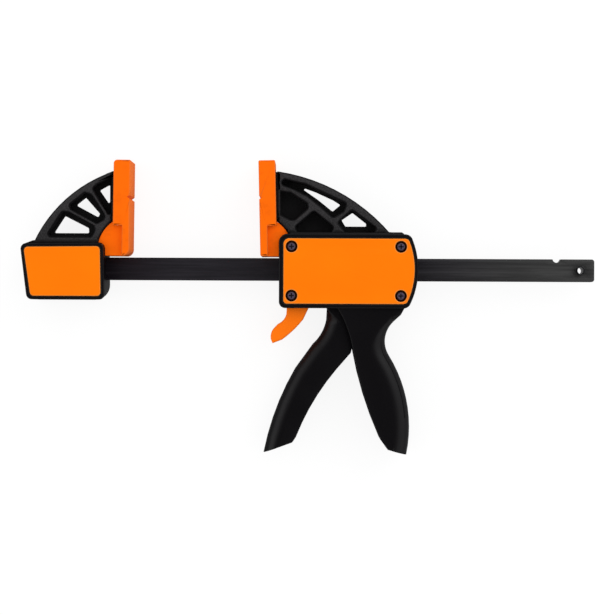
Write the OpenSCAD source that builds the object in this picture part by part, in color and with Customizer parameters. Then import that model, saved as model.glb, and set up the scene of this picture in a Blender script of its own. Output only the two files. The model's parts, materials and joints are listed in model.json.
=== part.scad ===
// Quick release bar clamp, lying on its side: the bar runs along X, the jaws
// stand up along Y and the thickness is along Z. All sizes are in millimetres.
// Heights are measured from the bar's top or bottom edge, and lengths from the
// clamping face of the jaw that a piece belongs to.

/* [Bar] */
// Length of the steel bar
bar_len = 332.6; // [290:0.1:900]
// Height of the bar, in the jaws' direction
bar_h = 13.5; // [10.5:0.1:18]
// Thickness of the bar
bar_t = 6; // [4.5:0.1:8]
// Length of the bar behind the fixed pad's face
bar_tail = 55.4; // [50:0.1:57]
// Rounding of the bar's four corners
bar_corner = 1.6; // [0.5:0.1:3]
// Outer diameter of the spring pins
pin_d = 5; // [3.5:0.1:6]
// Wall of the spring pins
pin_wall = 0.5; // [0.4:0.1:1]
// From the bar's end to the middle of its pin hole
pin_inset = 8.5; // [6:0.1:12]
// From the pin hole to the middle of the notch in the top edge
notch_pitch = 14; // [9:0.1:20]
// Length of the stop pin at the bar's free end
stop_pin_len = 12; // [9:0.1:20]

/* [Jaws] */
// Distance between the two pads at rest, measured at the bar
opening = 77.7; // [20:0.1:150]
// Top of the jaw arches above the bar's top edge
jaw_reach = 51.7; // [42:0.1:64]
// Thickness of the jaw arches
arch_t = 20; // [14:0.5:22]
// Thickness of the web between an arch's ribs
web_t = 4; // [2:0.5:8]
// How far the fixed pad leans in at its top, in degrees
fixed_toe = 0.6; // [0:0.1:1.5]
// How far the moving pad leans in at its top, in degrees
moving_toe = 1.4; // [0:0.1:2]

/* [Pads] */
// Width of a pad
pad_w = 26; // [24:0.5:30]
// Depth of a pad from its face to its back edge
pad_depth = 9.9; // [8:0.1:12]
// Thickness of a pad's face
pad_plate = 4.5; // [3.5:0.1:6]
// How far a pad stands above its arch
pad_over = 5.85; // [2:0.05:10]
// Gap between a pad and the bar
pad_lift = 0.95; // [0.4:0.05:2]
// Height of the pad's back step above the bar
pad_step = 18.7; // [15:0.1:24]
// Radius of the pad's lug
lug_r = 22; // [20:0.1:24]
// Width of the pad's lug
lug_w = 18; // [12:0.5:20]
// Height of the pad's cross groove above the bar
groove_up = 35.6; // [26:0.1:44]
// Depth of the pad's cross groove
groove_depth = 1.8; // [0.8:0.1:3]

/* [Head] */
// From the fixed pad's face to the near wall of the head
head_gap = 14.4; // [13.5:0.1:18]
// Length of the head along its top
head_len = 50; // [47:0.1:60]
// How much shorter the head is along its bottom
head_slant = 4.2; // [0:0.1:6]
// How far the near wall of the head leans back at its top
head_lean = 0.6; // [0:0.1:1.5]
// Top of the head above the bar
head_above = 8.4; // [8:0.05:12]
// How much lower the top of the head is at its far end
head_droop = 0.5; // [0:0.1:1.5]
// Bottom of the head below the bar
head_below = 11.8; // [6:0.05:16]
// Width of the rim round the head's badges
head_rim = 1.9; // [1:0.1:3]
// Rounding of the head's corners
head_r = 3.4; // [2:0.1:5]
// Rounding of the head's lower near corner, behind its front bezel
head_back_r = 9; // [3:0.1:12]
// Depth of the head's front bezel
bezel_t = 4; // [3:0.1:6]
// Thickness of the head's badges
badge_t = 2.5; // [1.5:0.1:3.5]

/* [Housing] */
// From the moving pad's face to the near wall of the housing
house_gap = 11.1; // [10.5:0.1:15]
// Top of the housing above the bar
house_above = 14.05; // [13.5:0.05:20]
// Bottom of the housing below the bar
house_below = 16.35; // [15:0.05:20]
// Radius of the housing's bulged end
bulge_r = 47.9; // [40:0.1:80]
// Wall of the housing
wall = 3.4; // [2.5:0.1:4]
// Width of the rim round the covers
rim = 2.4; // [1.2:0.1:2.6]
// Thickness of the covers
cover_t = 3; // [2.4:0.1:4]
// How far covers and badges lie below their rims
sink = 0.2; // [0:0.05:0.6]
// Room between the drive spring and the covers
side_room = 1.9; // [0.6:0.1:4]
// Diameter of the screw heads
screw_head_d = 5.2; // [4.6:0.1:6.4]
// Diameter of the screw shanks
screw_d = 2.9; // [2:0.1:3.5]
// Length of the screws under the head
screw_len = 8; // [6:0.5:10]

/* [Mechanism] */
// From the housing's near wall to the fulcrum of the brake plate
fulcrum_run = 13.8; // [13.7:0.1:16]
// From the fulcrum to the trigger's pivot
pivot_run = 17; // [16.9:0.1:24]
// Height of the trigger's pivot above the bar
pivot_up = 5.2; // [5.1:0.05:5.6]
// Diameter of the trigger's pivot pin
pivot_d = 5; // [3.5:0.1:5]
// Stroke of the trigger, in degrees
trigger_stroke = 14; // [6:0.5:14]
// Thickness of the brake plate
brake_t = 4; // [2.5:0.1:5]
// Slant at which the brake plate bites on the bar, in degrees
brake_cant = 7; // [4:0.5:8]
// Thickness of one drive plate
drive_t = 3; // [2:0.1:4]
// Wire of the drive spring
drive_wire = 1.6; // [1:0.1:2.2]
// Length of the drive spring
drive_len = 33.8; // [26:0.1:50]
// Wire of the brake spring
brake_wire = 0.8; // [0.5:0.1:1.2]

/* [Handles] */
// Reach of the handles below the bar
handle_len = 103.4; // [85:0.1:125]
// Thickness of the trigger
trigger_w = 19.5; // [17:0.1:20.5]
// Wall of the hollow trigger
trigger_wall = 2.6; // [2:0.1:4]
// Wall of the hollow grip
grip_wall = 2.6; // [2:0.1:4]
// Thickness of the release lever
lever_w = 16; // [12:0.5:20]

/* [Hidden] */
$fn = 48;
eps = 0.01;
far = 60;             // longer than any wall that a cut goes through
arc_step = 4;         // degrees between the points of an arc
bite = 1;             // how far two joined solids run into each other

nylon_black = [0.09, 0.09, 0.1];
trigger_black = [0.07, 0.07, 0.08];
cover_orange = [1, 0.47, 0];
pad_orange = [1, 0.42, 0];
lever_orange = [1, 0.4, 0];
bar_grey = [0.19, 0.19, 0.19];
screw_black = [0.1, 0.1, 0.1];

fit = 0.05;           // a pin in its hole, all round
seat = 0.15;          // a fixed piece in its seat, all round
slide = 0.3;          // a piece that slides or swings past its neighbour
slack = 0.6;          // a piece that swings between two walls

// Depths, from the bar outwards
spring_room = 0.8;    // between the bar's edges and the drive spring, across
bar_diagonal = norm([bar_h, bar_t]);
drive_od = bar_diagonal + spring_room + 2 * drive_wire;
inner_half = drive_od / 2 + side_room;
house_t = 2 * (inner_half + cover_t + sink);
fork_arm = 3.8;       // thickness of each arm of the trigger's yoke
fork_back = 3;        // how far the arms reach behind the pivot
fork_root = 1.5;      // and into the block under them
fork_in = bar_t / 2 + slack;
fork_out = fork_in + fork_arm;
cheek_gap = 0.4;      // between the yoke and the cheeks that carry its pin
grip_w = trigger_w + 2 * (slack + grip_wall);
plate_half = 8;       // half the width of a drive plate
brake_half = 8.5;     // half the width of the brake plate
peg_d = 4;            // the pegs that the brake spring sits on

// Heights
function up(y) = bar_h / 2 + y;
function down(y) = -bar_h / 2 - y;
house_top = up(house_above);
house_bottom = down(house_below);
head_top = up(head_above);
head_bottom = down(head_below);
head_x = -head_gap - head_len;
pad_top = up(jaw_reach + pad_over);
fulcrum_y = up(8.3);
pivot_y = up(pivot_up);
nose_y = down(4.5);
plate_bottom = down(6.75);
plate_top = up(6.5);
rib_top = down(2.3);
spring_y = down(6.3);
yoke_top = down(2.2);
trigger_top = 10.5;   // depths below the bar: the trigger's block under its yoke,
lever_top = 1.6;      // and the release lever's upper end

// Stations along the moving jaw, from its pad's face
fulcrum_x = house_gap + fulcrum_run;
pivot_x = fulcrum_x + pivot_run;
eye_wall = 2.3;       // round the trigger's pivot
eye_r = pivot_d / 2 + eye_wall;
nose_r = 2.5;
nose_run = 2.35;      // from the pivot's station to the middle of the trigger's nose
plate_x = pivot_x + nose_run + nose_r + slide;
spring_x = plate_x + 2 * drive_t + seat;
seat_x = spring_x + drive_len + seat;
end_wall = 6.3;       // from the spring's seat to the outside of the bulged end
house_end = seat_x + end_wall;
eye_gap = 0.1;        // between the eye and the wall in front of it
rib_x = pivot_x - eye_r - eye_gap;
rib_t = 2.7;          // wall between the trigger and the release lever
lever_back = 2.5;     // the release lever's back, behind the fulcrum's station
trigger_back_run = 10.6;   // the trigger's back in the housing's floor, behind its pivot
opening_end = pivot_x + trigger_back_run + (pivot_y - house_bottom) * sin(trigger_stroke);

// The arches stretch with jaw_reach, and the handles with handle_len below their necks
arch_lift = jaw_reach / 51.7;
neck = 20;
handle_pull = (handle_len - neck) / (103.4 - neck);
function lifted(y) = up(y * arch_lift);
function fixed_pt(p) = [p.x - head_gap, lifted(p.y)];
function moving_pt(p) = [p.x + house_gap, lifted(p.y)];
function handle_pt(p) =
    [pivot_x + p.x, down(p.y < neck ? p.y : neck + (p.y - neck) * handle_pull), p[2]];

// Origin: middle of the outline, on the face that the clamp lies on
frame_shift = [
    -(head_x + bar_len - bar_tail) / 2,
    -(pad_top + down(handle_len)) / 2,
    house_t / 2
];

// Points of a round arc about c
function sweep(c, r, a0, a1) =
    let (n = max(2, ceil(abs(a1 - a0) / arc_step)))
    [for (i = [0:n]) c + r * [cos(a0 + (a1 - a0) * i / n), sin(a0 + (a1 - a0) * i / n)]];

// Points after p on a round arc to q; bow is its rise over its chord, to the left of travel
function arc(p, q, bow) =
    bow == 0 ? [q] :
    let (
        chord = norm(q - p),
        rise = bow * chord,
        r = (chord * chord / 4 + rise * rise) / (2 * abs(rise)),
        left = [p.y - q.y, q.x - p.x] / chord,
        c = (p + q) / 2 + left * (rise - sign(rise) * r),
        a0 = atan2(p.y - c.y, p.x - c.x),
        turn = -sign(rise) * 2 * asin(chord / 2 / r),
        n = max(2, ceil(abs(turn) / arc_step))
    )
    [for (i = [1:n]) c + r * [cos(a0 + turn * i / n), sin(a0 + turn * i / n)]];

// An open line through stations [x, y, bow of the stretch after it]
function path(s) = [
    [s[0].x, s[0].y],
    for (i = [1:len(s) - 1]) each arc([s[i - 1].x, s[i - 1].y], [s[i].x, s[i].y],
                                      is_undef(s[i - 1][2]) ? 0 : s[i - 1][2])
];

// The same line, moved sideways to the left of travel
function beside(p, d) = [
    for (i = [0:len(p) - 1])
        let (t = p[min(i + 1, len(p) - 1)] - p[max(i - 1, 0)])
        p[i] + d * [-t.y, t.x] / norm(t)
];

// A closed outline with its corners rounded to r, one value or one for each corner,
// or less where that would take more than a share of a side
function rounded(p, r, share = 0.45) = [
    for (i = [0:len(p) - 1])
        let (
            a = p[(i + len(p) - 1) % len(p)] - p[i],
            b = p[(i + 1) % len(p)] - p[i],
            half = acos(a * b / (norm(a) * norm(b))) / 2,
            cut = min((is_list(r) ? r[i] : r) / tan(half), share * norm(a), share * norm(b)),
            from = p[i] + cut * a / norm(a),
            to = p[i] + cut * b / norm(b),
            mid = a / norm(a) + b / norm(b),
            c = p[i] + mid / norm(mid) * cut / cos(half),
            a0 = atan2(from.y - c.y, from.x - c.x),
            raw = atan2(to.y - c.y, to.x - c.x) - a0,
            turn = raw > 180 ? raw - 360 : raw < -180 ? raw + 360 : raw,
            n = max(4, ceil(abs(turn) / (3 * arc_step)))
        )
        for (k = [0:n])
            c + norm(from - c) * [cos(a0 + turn * k / n), sin(a0 + turn * k / n)]
];

module slab(points, z0, z1) {
    translate([0, 0, z0]) linear_extrude(z1 - z0) polygon(points);
}

module plate(points, half) {
    slab(points, -half, half);
}

module block(x0, x1, y0, y1, half) {
    translate([x0, y0, -half]) cube([x1 - x0, y1 - y0, 2 * half]);
}

module both_sides() {
    children();
    mirror([0, 0, 1]) children();
}

module hole(x, y, d, half = far) {
    translate([x, y, -half]) cylinder(d = d, h = 2 * half);
}

module in_frame() {
    translate(frame_shift) children();
}

module in_moving_jaw() {
    in_frame() translate([opening, 0, 0]) children();
}

// Leans a pad in about its lower end
module toed(angle) {
    translate([0, up(pad_lift), 0]) rotate(-angle) translate([0, -up(pad_lift), 0]) children();
}

// A coil along +X, from its first wire's near side to its last wire's far side
module coil(mean_d, wire, length, turns) {
    per_turn = 14;
    sides = 8;
    n = turns * per_turn;
    points = [
        for (i = [0:n]) for (j = [0:sides - 1])
            let (
                a = 360 * i / per_turn,
                b = 360 * j / sides,
                r = mean_d / 2 + wire / 2 * cos(b),
                x = wire / 2 + (length - wire) * i / n + wire / 2 * sin(b)
            )
            [x, r * cos(a), r * sin(a)]
    ];
    faces = concat(
        [for (i = [0:n - 1]) for (j = [0:sides - 1])
            let (a = i * sides + j, b = i * sides + (j + 1) % sides)
            each [[a, a + sides, b], [b, a + sides, b + sides]]],
        [[for (j = [0:sides - 1]) j]],
        [[for (j = [sides - 1:-1:0]) n * sides + j]]
    );
    polyhedron(points, faces);
}

// ---- bar and fixed jaw ----

notch_y = up(0.5);    // the notch is less than half a hole deep

module bar() {
    ends = [-bar_tail, bar_len - bar_tail];
    color(bar_grey) in_frame() difference() {
        plate(rounded([
            [ends[0], -bar_h / 2], [ends[1], -bar_h / 2],
            [ends[1], bar_h / 2], [ends[0], bar_h / 2]
        ], bar_corner), bar_t / 2);
        for (i = [0, 1]) {
            inward = i == 0 ? 1 : -1;
            hole(ends[i] + inward * pin_inset, 0, pin_d + 2 * fit);
            hole(ends[i] + inward * (pin_inset + notch_pitch), notch_y, pin_d + 2 * fit);
        }
    }
}

pin_slit = 0.8;
pin_slit_turn = -55;  // where the slit faces, from the bar's free end

module spring_pin(x, y, half) {
    translate([x, y, 0]) difference() {
        hole(0, 0, pin_d, half);
        hole(0, 0, pin_d - 2 * pin_wall);
        rotate(pin_slit_turn) block(0, pin_d, -pin_slit / 2, pin_slit / 2, far);
    }
}

module stop_pin() {
    color("dimgray") in_frame()
        spring_pin(bar_len - bar_tail - pin_inset, 0, stop_pin_len / 2);
}

head_pins = [
    [pin_inset - bar_tail, 0],
    [pin_inset + notch_pitch - bar_tail, notch_y]
];
head_pin_half = house_t / 2 - sink - badge_t - seat;

module fixed_jaw_pins() {
    color("dimgray") in_frame() for (p = head_pins) spring_pin(p.x, p.y, head_pin_half);
}

// Outline of the head, moved in by inset; near_r rounds its lower near corner, r the others
function head_outline(inset, near_r, r = head_r) = rounded([
    [head_x + inset, head_top - head_droop - inset],
    [head_x + head_slant + inset, head_bottom + inset],
    [-head_gap - inset, head_bottom + inset],
    [-head_gap - head_lean - inset, head_top - inset]
], [r - inset, r - inset, max(near_r, r) - inset, r - inset]);

badge_r = 4.4;        // rounding of the badges' corners, if they were as large as the head

// Fills the head's rim on the side that faces +Z
module fixed_jaw_badge(near_r) {
    slab(head_outline(head_rim + seat, near_r, badge_r),
         house_t / 2 - sink - badge_t, house_t / 2 - sink);
}

module fixed_jaw_front_badge() {
    color(cover_orange) in_frame() fixed_jaw_badge(head_r);
}

module fixed_jaw_rear_badge() {
    color(cover_orange) in_frame() mirror([0, 0, 1]) fixed_jaw_badge(head_back_r);
}

// Corners of the pockets and windows in the fixed arch, from the head's near wall and the bar
fixed_cells = [
    [[[-35.2, 12.0], [-25.7, 26.8], [-21.5, 26.4], [-7.0, 18.6], [-6.4, 15.9], [-8.4, 12.0]],
     [[-32.2, 14.45], [-25.5, 24.85], [-10.9, 17.45], [-10.75, 14.45]]],
    [[[-21.5, 30.9], [-12.4, 38.2], [-8.8, 37.2], [-0.6, 25.4], [-0.9, 22.6], [-5.2, 19.9],
      [-20.5, 28.2]],
     [[-18.85, 31.25], [-13.0, 36.0], [-4.3, 26.1], [-5.3, 24.0]]],
    [[[-7.7, 40.7], [-4.8, 43.3], [6.0, 48.6], [6.0, 27.5], [1.6, 25.1]],
     [[-4.8, 40.3], [0.0, 43.0], [1.7, 43.5], [1.7, 30.9]]]
];
cell_r = 1.6;         // rounding of the pockets' corners
window_r = 0.8;       // rounding of the windows' corners
tongue_depth = 1.4;   // how far an arch's front part reaches behind its pad
tongue_low = 21.9;    // from this height of the arch
tongue_top = 0.9;     // to this far under its top
plinth_side = 1.5;    // how far an arch's plinth stands out on each side
plinth_top = 1.25;    // height of the fixed arch's plinth
plinth_ramp = 4.6;    // how far it slopes down to the head's far end
plinth_inset = 4;     // from the near wall to the plinth
fixed_crown = 51;     // height of the arch behind its pad
fixed_heel = -42.85;  // far end of the fixed arch, from the head's near wall
fixed_bow = 0.1038;   // rise of its outer edge over its chord

// Front part of an arch, inside its pad
module pad_tongue() {
    block(-pad_depth - tongue_depth, -pad_plate - slide, lifted(tongue_low),
          up(jaw_reach - tongue_top), arch_t / 2);
}

lug_centre = [2.7, 3.2];   // in front of the pad's face, and above the bar

module lug_disc(r, half) {
    translate([lug_centre.x, up(lug_centre.y), -half]) cylinder(r = r, h = 2 * half, $fn = 96);
}

module fixed_arch_body() {
    foot = fixed_heel - head_gap;
    low = head_top - head_droop - bite;
    ridge = head_top + plinth_top;
    line = path([[foot, head_top, fixed_bow], [-pad_depth, lifted(fixed_crown)]]);
    difference() {
        union() {
            plate(concat(line, [[-pad_depth - slide, head_top - bite], [foot, head_top - bite]]),
                  arch_t / 2);
            plate([
                [foot - plinth_ramp, low], [-head_gap - plinth_inset, low],
                [-head_gap - plinth_inset, ridge], [foot, ridge],
                [foot - plinth_ramp, head_top - head_droop]
            ], arch_t / 2 + plinth_side);
        }
        lug_disc(lug_r + slide, far);
        both_sides() for (cell = fixed_cells)
            slab(rounded([for (p = cell[0]) fixed_pt(p)], cell_r), web_t / 2, far);
        for (cell = fixed_cells)
            plate(rounded([for (p = cell[1]) fixed_pt(p)], window_r), far);
    }
}

module fixed_jaw() {
    bezel_z = house_t / 2 - bezel_t;
    color(nylon_black) in_frame() {
        difference() {
            union() {
                slab(head_outline(0, head_r), bezel_z, house_t / 2);
                slab(head_outline(0, head_back_r), -house_t / 2, bezel_z);
            }
            slab(head_outline(head_rim, head_r, badge_r), house_t / 2 - sink - badge_t, far);
            slab(head_outline(head_rim, head_back_r, badge_r), -far, -house_t / 2 + sink + badge_t);
            block(-bar_tail - seat, far, -bar_h / 2 - seat, bar_h / 2 + seat, bar_t / 2 + seat);
            for (p = head_pins) hole(p.x, p.y, pin_d + 2 * fit);
        }
        fixed_arch_body();
        toed(fixed_toe) pad_tongue();
    }
}

groove_half = 1.2;    // half the width of a pad's cross groove
lug_root = 0.5;       // how far a lug runs into its pad's face
pocket_drop = 3.4;    // a pad's pocket starts this far below the arch's front part
lug_gap = 0.3;        // from a lug to the head or the housing that it hugs
// Rounding of a pad's face at its top, of its back there, and of its face's lower end
fixed_pad_r = [0.5, 2.2, 4.4];
moving_pad_r = [0.8, 0.8, 0.8];
corner_share = 0.9;   // how much of a pad's short side one corner may take

// A pad with its face at x = 0, clamping towards +X; its lug ends at the outline it hugs.
// ends_r holds its three roundings.
module pad_body(toe, neighbour, ends_r) {
    low = up(pad_lift);
    step = up(pad_step);
    groove = [[eps, up(groove_up + groove_half)], [-groove_depth, up(groove_up)],
              [eps, up(groove_up - groove_half)]];
    toed(toe) difference() {
        plate(rounded([
            [0, low], [0, pad_top], [-pad_depth, pad_top],
            [-pad_depth, step], [-pad_plate, step], [-pad_plate, low]
        ], concat(ends_r[2], ends_r[0], ends_r[1], seat, seat, seat), corner_share), pad_w / 2);
        block(-far, -pad_plate, lifted(tongue_low) - slide - pocket_drop, up(jaw_reach) + slide,
              arch_t / 2 + slide);
        plate(groove, far);
    }
    difference() {
        intersection() {
            lug_disc(lug_r, lug_w / 2);
            block(-far, -pad_plate + lug_root, low, far, far);
        }
        plate(neighbour, far);
        toed(toe) block(-pad_depth - eps, 0, step, far, far);
        toed(toe) block(-bite, far, 0, far, far);
    }
}

module fixed_jaw_pad() {
    color(pad_orange) in_frame()
        pad_body(fixed_toe, head_outline(-lug_gap, head_r), fixed_pad_r);
}

// ---- moving jaw ----

house_front_r = 5;    // rounding of the housing's corners: near the arch, below it,
house_low_r = 3.8;    // and at the bulged end
house_back_r = 4.6;
least_r = 0.5;        // rounding left to the corners inside the wall
cover_soft = 1;       // how much more a cover's corners are rounded
rim_thin = 0.5;       // how much narrower the rim is along the bulged end

// Outline of the housing, with a bulged far end, moved in by inset; its corners rounded by
// soft more, and its bulged end thin further out
function house_outline(inset, soft = 0, thin = 0) =
    let (
        top = house_top - inset,
        bottom = house_bottom + inset,
        left = house_gap + inset,
        front_r = max(house_front_r - inset, least_r) + soft,
        low_r = max(house_low_r - inset, least_r) + soft,
        back_r = max(house_back_r - inset, least_r) + soft,
        r = bulge_r - inset + thin,
        c = [house_end - bulge_r, 0],
        high = [c.x + sqrt(pow(r - back_r, 2) - pow(top - back_r, 2)), top - back_r],
        low = [c.x + sqrt(pow(r - back_r, 2) - pow(bottom + back_r, 2)), bottom + back_r],
        high_a = atan2(high.y - c.y, high.x - c.x),
        low_a = atan2(low.y - c.y, low.x - c.x)
    )
    concat(
        sweep([left + front_r, top - front_r], front_r, 180, 90),
        sweep(high, back_r, 90, high_a),
        sweep(c, r, high_a, low_a),
        sweep(low, back_r, low_a, -90),
        sweep([left + low_r, bottom + low_r], low_r, -90, -180)
    );

// The opening inside the rim, and with a gap the cover in it
function cover_outline(gap) = house_outline(rim + gap, cover_soft, rim_thin);

boss_r = 3.5;
gusset_half = 1.5;    // half the thickness of the rib from a boss to its wall
screw_inset = 7.4;    // of the screws from the near wall and the two long sides
screw_back = 10.2;    // of the far screws from the bulged end
screws = [
    for (x = [house_gap + screw_inset, house_end - screw_back],
         y = [house_top - screw_inset, house_bottom + screw_inset]) [x, y]
];

// Corners of the pockets in the moving arch, and of the windows in two of them, from the
// housing's near wall and the bar
moving_pockets = [
    [[1.4, 44.9], [2.6, 46.6], [15.3, 43.8], [39.9, 32.4], [38.3, 27.9], [32.0, 24.0],
     [24.9, 30.3], [16.9, 36.7], [9.0, 40.7], [1.8, 43.4]],
    [[43.1, 28.7], [57.6, 17.7], [56.6, 15.5], [39.2, 15.5], [34.8, 20.9]],
    [[-0.5, 39.5], [6.6, 38.6], [16.5, 32.3], [16.9, 29.5], [9.0, 22.6], [6.6, 22.6],
     [-0.9, 26.4]],
    [[20.5, 27.9], [32.0, 18.4], [31.2, 15.4], [10.6, 15.4], [9.7, 18.4]]
];
moving_windows = [
    [[10.5, 43.65], [21.8, 39.6], [32.0, 34.95], [36.6, 32.1], [31.7, 28.0], [23.2, 34.85]],
    [[43.7, 27.4], [51.9, 21.0], [51.9, 19.1], [39.4, 19.1], [37.1, 22.9]]
];
moving_heel = 66.65;  // far end of the moving arch, from the housing's near wall
moving_bow = 0.0919;  // rise of its outer edge over its chord
moving_crown = 51.4;
moving_plinth_inset = 5;
moving_plinth_top = 1.35;
plinth_run = 7.2;     // how far the moving arch's plinth runs on behind it

module moving_arch_body() {
    heel = house_gap + moving_heel;
    line = path([[pad_depth, lifted(moving_crown), moving_bow], [heel, house_top]]);
    plinth_end = heel + plinth_run;
    plinth_start = house_gap + moving_plinth_inset;
    ridge = house_top + moving_plinth_top;
    difference() {
        union() {
            plate(concat(line, [[heel, house_top - bite], [pad_depth + slide, house_top - bite]]),
                  arch_t / 2);
            plate([
                [plinth_start, house_top - bite], [plinth_end + bite, house_top - bite],
                [plinth_end, (house_top + ridge) / 2], [plinth_end - bite, ridge],
                [plinth_start, ridge]
            ], arch_t / 2 + plinth_side);
        }
        mirror([1, 0, 0]) lug_disc(lug_r + slide, far);
        both_sides() for (pocket = moving_pockets)
            slab(rounded([for (p = pocket) moving_pt(p)], cell_r), web_t / 2, far);
        for (window = moving_windows)
            plate(rounded([for (p = window) moving_pt(p)], window_r), far);
    }
}

// Outer edge of the grip: the collar, the neck's hollow and the palm's swell
palm = path([for (s = [[43.5, 16.35, 0], [41.45, 20.1, 0], [37.45, 24.0, -0.18],
    [35.0, 44.45, 0.096], [45.55, 103.4]]) handle_pt(s)]);
// Edge of the grip that faces the trigger, from its tip up
finger_edge = path([for (s = [[34.0, 100.0, 0], [29.5, 93.8, 0.0307], [13.1, 40.55, -0.035],
    [6.9, 21.25, 0], [4.0, 16.35]]) handle_pt(s)]);

grip_floor = 89;      // depth of the grip's hollow at the palm
floor_rise = 14;      // and how much less deep it is at the other end

module grip() {
    roof = house_bottom + bite;
    floor_y = handle_pt([0, grip_floor]).y;
    hollow = [for (p = beside(palm, -grip_wall)) if (p.y > floor_y + grip_wall) p];
    difference() {
        plate(concat([[palm[0].x, roof]], palm, finger_edge,
                     [[finger_edge[len(finger_edge) - 1].x, roof]]), grip_w / 2);
        plate(concat([[house_gap, house_bottom - eps],
                      [palm[0].x - 2 * grip_wall, house_bottom - eps]],
                     hollow, [[house_gap, floor_y + floor_rise]]), trigger_w / 2 + slack);
    }
}

module housing_shell() {
    difference() {
        plate(house_outline(0), house_t / 2);
        plate(house_outline(wall), far);
        both_sides() slab(cover_outline(0), inner_half, far);
    }
}

ceiling = house_top - wall + bite;
peg_len = 1.5;        // of the brake spring's peg on the wall
lever_peg_len = 1.2;  // and of the one on the release lever
stop_t = 2;           // stop behind the brake plate's top
stop_low = 0.8;       // how far it reaches below the fulcrum

module housing_insides() {
    for (p = screws) {
        hole(p.x, p.y, 2 * boss_r, inner_half);
        block(p.x < pivot_x ? house_gap + bite : p.x, p.x < pivot_x ? p.x : house_end - wall,
              p.y - gusset_half, p.y + gusset_half, inner_half);
    }
    // seat of the drive spring
    intersection() {
        block(seat_x, house_end, -drive_od / 2 - bite, drive_od / 2 + bite, inner_half);
        plate(house_outline(bite), far);
    }
    // wall between the release lever and the trigger, with the brake spring's peg
    block(rib_x - rib_t, rib_x, house_bottom + bite, rib_top, inner_half);
    translate([rib_x - rib_t + eps, spring_y, 0]) rotate([0, -90, 0])
        cylinder(d = peg_d, h = peg_len);
    // stop behind the top of the brake plate, across from the screw boss
    stop_x = fulcrum_x + brake_t / 2 + slide;
    block(stop_x, stop_x + stop_t, fulcrum_y - stop_low, ceiling, inner_half);
    // cheeks that carry the trigger's pin
    cheek_r = eye_r - cheek_gap;
    both_sides() translate([0, 0, fork_out + cheek_gap])
        linear_extrude(inner_half - fork_out - cheek_gap) {
            translate([pivot_x, pivot_y]) circle(r = cheek_r);
            translate([pivot_x - cheek_r, pivot_y]) square([2 * cheek_r, ceiling - pivot_y]);
        }
}

module jaw_housing() {
    color(nylon_black) in_moving_jaw() {
        difference() {
            union() {
                housing_shell();
                housing_insides();
                moving_arch_body();
            }
            block(0, far * 2, -bar_h / 2 - slide, bar_h / 2 + slide, bar_t / 2 + slide);
            for (p = screws) hole(p.x, p.y, screw_d + 2 * fit);
            hole(pivot_x, pivot_y, pivot_d + 2 * fit, inner_half + eps);
            // ways through the floor for the release lever and the trigger
            block(house_gap + wall, rib_x - rib_t, house_bottom - bite,
                  house_bottom + wall + slack, lever_w / 2 + slack);
            block(rib_x, opening_end, house_bottom - bite, house_bottom + wall + eps,
                  trigger_w / 2 + slack);
        }
        difference() {
            grip();
            block(rib_x, opening_end, house_bottom - bite, far, trigger_w / 2 + slack);
        }
        mirror([1, 0, 0]) toed(moving_toe) pad_tongue();
    }
}

head_sink = 1.9;      // depth of the counterbore for a screw's head
head_room = 0.9;      // round the screw's head
shank_room = 0.2;     // and round its shank

module cover() {
    difference() {
        slab(cover_outline(seat), inner_half, inner_half + cover_t);
        for (p = screws) {
            hole(p.x, p.y, screw_d + 2 * shank_room);
            translate([p.x, p.y, inner_half + cover_t - head_sink])
                cylinder(d = screw_head_d + 2 * head_room, h = far);
        }
    }
}

module front_cover() {
    color(cover_orange) in_moving_jaw() cover();
}

module rear_cover() {
    color(cover_orange) in_moving_jaw() mirror([0, 0, 1]) cover();
}

// Pan head screws with a cross recess, under their cover's surface
module cover_screws() {
    head_h = 1.3;
    recess = [3, 0.7, 0.9];   // length, width and depth of one slot
    under = inner_half + cover_t - head_sink;
    for (p = screws) translate([p.x, p.y, 0]) difference() {
        union() {
            translate([0, 0, under]) cylinder(d = screw_head_d, h = head_h);
            translate([0, 0, under - screw_len]) cylinder(d = screw_d, h = screw_len + eps);
        }
        for (a = [0, 90]) rotate(a)
            translate([-recess.x / 2, -recess.y / 2, under + head_h - recess.z])
                cube([recess.x, recess.y, 2 * recess.z]);
    }
}

module front_cover_screws() {
    color(screw_black) in_moving_jaw() cover_screws();
}

module rear_cover_screws() {
    color(screw_black) in_moving_jaw() mirror([0, 0, 1]) cover_screws();
}

module moving_jaw_pad() {
    mirrored = [for (p = house_outline(-lug_gap)) [-p.x, p.y]];
    color(pad_orange) in_moving_jaw() mirror([1, 0, 0])
        pad_body(moving_toe, mirrored, moving_pad_r);
}

// ---- mechanism ----

module trigger_pivot_pin() {
    color("silver") in_moving_jaw() hole(pivot_x, pivot_y, pivot_d, inner_half - seat);
}

// Side view of the trigger below the housing's floor: its finger side down to the tip,
// then the side that nests in the grip
trigger_front = path([for (s = [
    [-2.25, trigger_top, 0], [-2.25, 16.85, 0], [-2.6, 23.25, 0.083], [-10.55, 37.6, 0],
    [-21.2, 52.4, -0.0415], [-39.8, 102.5]
]) handle_pt(s)]);
trigger_back = path([for (s = [
    [-22.6, 96.2, 0], [-20.4, 92.9, 0.0407], [3.4, 52.7, 0], [11.1, 43.8, -0.12],
    [12.3, 41.3, 0], [13.2, 38.5, 0], [9, 17.75, 0], [3, 12.25, 0], [3, trigger_top]
]) handle_pt(s)]);

channel_top = 26;     // depths of the trigger's channel below the bar
channel_low = 90;
channel_ribs = 3;
channel_rib_t = 2;

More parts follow.
